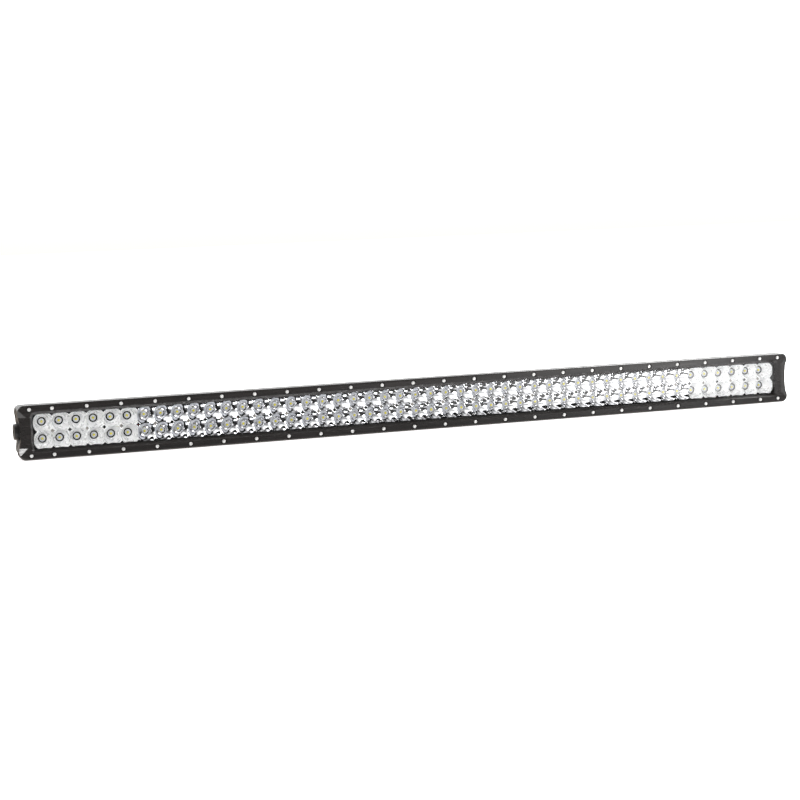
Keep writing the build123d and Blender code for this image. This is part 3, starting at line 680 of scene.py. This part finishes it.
FLOOR_HALF = 15.0
floor_look = Look("floor_white", (0.9, 0.9, 0.9), 0.7, specular=0.2)
floor_look.set(Emission_Color=(1, 1, 1, 1), Emission_Strength=0.6)
floor_corners = [(u * FLOOR_HALF, v * FLOOR_HALF, 0) for u, v in ((-1, -1), (1, -1), (1, 1), (-1, 1))]
floor = stage_quad("floor", floor_corners, floor_look.mat)
floor.location.z = floor_z
floor.visible_glossy = False
floor.visible_transmission = False

# a low upright card in front of the bar, brighter towards the right, which only reflections see
CARD_LEFT, CARD_RIGHT = -0.75, 0.92
CARD_Y = front_y - 0.46
CARD_BOTTOM, CARD_TOP = -0.072, 0.03
CARD_PEAK = 3.6
CARD_STOPS = [  # place along X and brightness
    (-0.75, 0.0), (-0.42, 0.06), (-0.28, 0.15), (-0.08, 0.3), (0.12, 0.7), (0.28, 1.2),
    (0.45, 2.2), (0.62, 3.2), (0.72, 3.6), (0.80, 2.4), (0.92, 0.3),
]


def card_glow():
    material = bpy.data.materials.new("card_glow")
    material.use_nodes = True
    graph = Graph(material.node_tree)
    x = graph.coordinates("Object")[0]
    share = graph.new("ShaderNodeMapRange", Value=x, From_Min=CARD_LEFT, From_Max=CARD_RIGHT)
    ramp = graph.new("ShaderNodeValToRGB", Fac=share.outputs["Result"])
    while len(ramp.color_ramp.elements) < len(CARD_STOPS):
        ramp.color_ramp.elements.new(1.0)
    for element, (stop_x, level) in zip(ramp.color_ramp.elements, CARD_STOPS):
        element.position = (stop_x - CARD_LEFT) / (CARD_RIGHT - CARD_LEFT)
        element.color = (level / CARD_PEAK,) * 3 + (1,)
    glow = graph.new("ShaderNodeEmission", Color=ramp.outputs["Color"], Strength=CARD_PEAK)
    graph.new("ShaderNodeOutputMaterial", Surface=glow.outputs["Emission"])
    return material


card_corners = [
    (CARD_LEFT, CARD_Y, CARD_BOTTOM),
    (CARD_RIGHT, CARD_Y, CARD_BOTTOM),
    (CARD_RIGHT, CARD_Y, CARD_TOP),
    (CARD_LEFT, CARD_Y, CARD_TOP),
]
card = stage_quad("card", card_corners, card_glow())
card.visible_camera = False
card.visible_diffuse = False
card.visible_shadow = False

# The world is white for the camera. Everything else sees a bright room with a dark part in front.
# Each fade goes from nothing to full, in degrees: azimuth from the front and positive to the
# right, or elevation.
DARK_LEFT, DARK_RIGHT = (-66, -56), (42, 34)
DARK_BOTTOM, DARK_TOP = (-30, -2), (88, 72)
BEHIND, ABOVE, BELOW = (95, 125), (-4, 3), (-20, -34)
ROOM_LEVEL, DARK_LEVEL, BACK_LEVEL, BACK_LOW_LEVEL, BELOW_LEVEL = 1.2, 0.008, 1.9, 0.5, 2.2
CAMERA_LEVEL = 1.2
WARMTH = (0.0, 0.16, 0.3)  # taken off red, green and blue low down behind the bar


def room(world):
    graph = Graph(world.node_tree)
    x, y, z = graph.coordinates("Generated")
    azimuth = graph.math("ARCTAN2", x, graph.math("MULTIPLY", y, -1.0))
    elevation = graph.math("ARCSINE", z)
    dark = graph.math("MULTIPLY", graph.fade(azimuth, *DARK_LEFT), graph.fade(azimuth, *DARK_RIGHT))
    dark = graph.math("MULTIPLY", dark, graph.fade(elevation, *DARK_TOP))
    dark = graph.math("MULTIPLY", dark, graph.fade(elevation, *DARK_BOTTOM))
    behind = graph.fade(graph.math("ABSOLUTE", azimuth), *BEHIND)
    above = graph.fade(elevation, *ABOVE)
    below = graph.fade(elevation, *BELOW)
    level = graph.math("ADD", ROOM_LEVEL, graph.math("MULTIPLY", dark, DARK_LEVEL - ROOM_LEVEL))
    back = graph.math("MULTIPLY", above, BACK_LEVEL - BACK_LOW_LEVEL)
    back = graph.math("ADD", BACK_LOW_LEVEL, back)
    change = graph.math("MULTIPLY", behind, graph.math("SUBTRACT", back, level))
    level = graph.math("ADD", level, change)
    level = graph.math("MAXIMUM", level, graph.math("MULTIPLY", below, BELOW_LEVEL))
    is_camera = graph.new("ShaderNodeLightPath").outputs["Is Camera Ray"]
    level = graph.math("MAXIMUM", level, graph.math("MULTIPLY", is_camera, CAMERA_LEVEL))
    warm = graph.math("MULTIPLY", behind, graph.math("SUBTRACT", 1.0, above))
    tint = graph.new("ShaderNodeCombineXYZ")
    for channel, share in zip(tint.inputs, WARMTH):
        graph.feed(channel, graph.math("SUBTRACT", 1.0, graph.math("MULTIPLY", warm, share)))
    background = graph.new("ShaderNodeBackground", Color=tint.outputs["Vector"], Strength=level)
    graph.new("ShaderNodeOutputWorld", Surface=background.outputs["Background"])


scene.world = bpy.data.worlds.new("studio")
scene.world.use_nodes = True
room(scene.world)


def softbox(name, place, target, size, power):
    """A rectangular lamp in watts and metres, turned towards its target."""
    lamp = bpy.data.lights.new(name, "AREA")
    lamp.shape = "RECTANGLE"
    lamp.size, lamp.size_y = size
    lamp.energy = power
    obj = bpy.data.objects.new(name, lamp)
    obj.location = place
    aim = Vector(target) - Vector(place)
    obj.rotation_euler = aim.to_track_quat("-Z", "Y").to_euler()
    scene.collection.objects.link(obj)
    return obj


softbox("overhead", (-0.3, 0.4, 1.9), (-0.3, 0, 0), (1.6, 1.0), 14)
softbox("overhead_right", (1.25, 0.45, 1.25), (0.6, 0, 0), (1.3, 0.6), 40)
softbox("front_left", (-1.8, -1.93, 1.12), (-0.5, 0, 0), (0.5, 0.35), 15)
softbox("front_right", (1.25, -1.05, 0.6), (0.5, 0, 0), (1.1, 0.9), 8)

# a fill that lights matte surfaces and leaves the front dark in the mirrors
fill = softbox("front_fill", (-0.3, -2.0, 0.3), (-0.1, 0, 0), (1.6, 0.8), 14)
fill.visible_glossy = False

# ---------------------------------------------------------------- camera
CAMERA_PLACE = (-0.9641, -2.7514, 0.3121)
YAW, PITCH_DOWN, ROLL = 0.3252699, 0.1053883, -0.0371760
FOCAL_LENGTH = 83.54
SENSOR_WIDTH = 36
CLIP_END = 100
camera_data = bpy.data.cameras.new("camera")
camera_data.lens = FOCAL_LENGTH
camera_data.sensor_width = SENSOR_WIDTH
camera_data.clip_end = CLIP_END
camera = bpy.data.objects.new("camera", camera_data)
turned = Matrix.Rotation(-YAW, 4, "Z")
turned = turned @ Matrix.Rotation(math.pi / 2 - PITCH_DOWN, 4, "X")
turned = turned @ Matrix.Rotation(ROLL, 4, "Z")
camera.matrix_world = Matrix.Translation(CAMERA_PLACE) @ turned
scene.collection.objects.link(camera)
scene.camera = camera
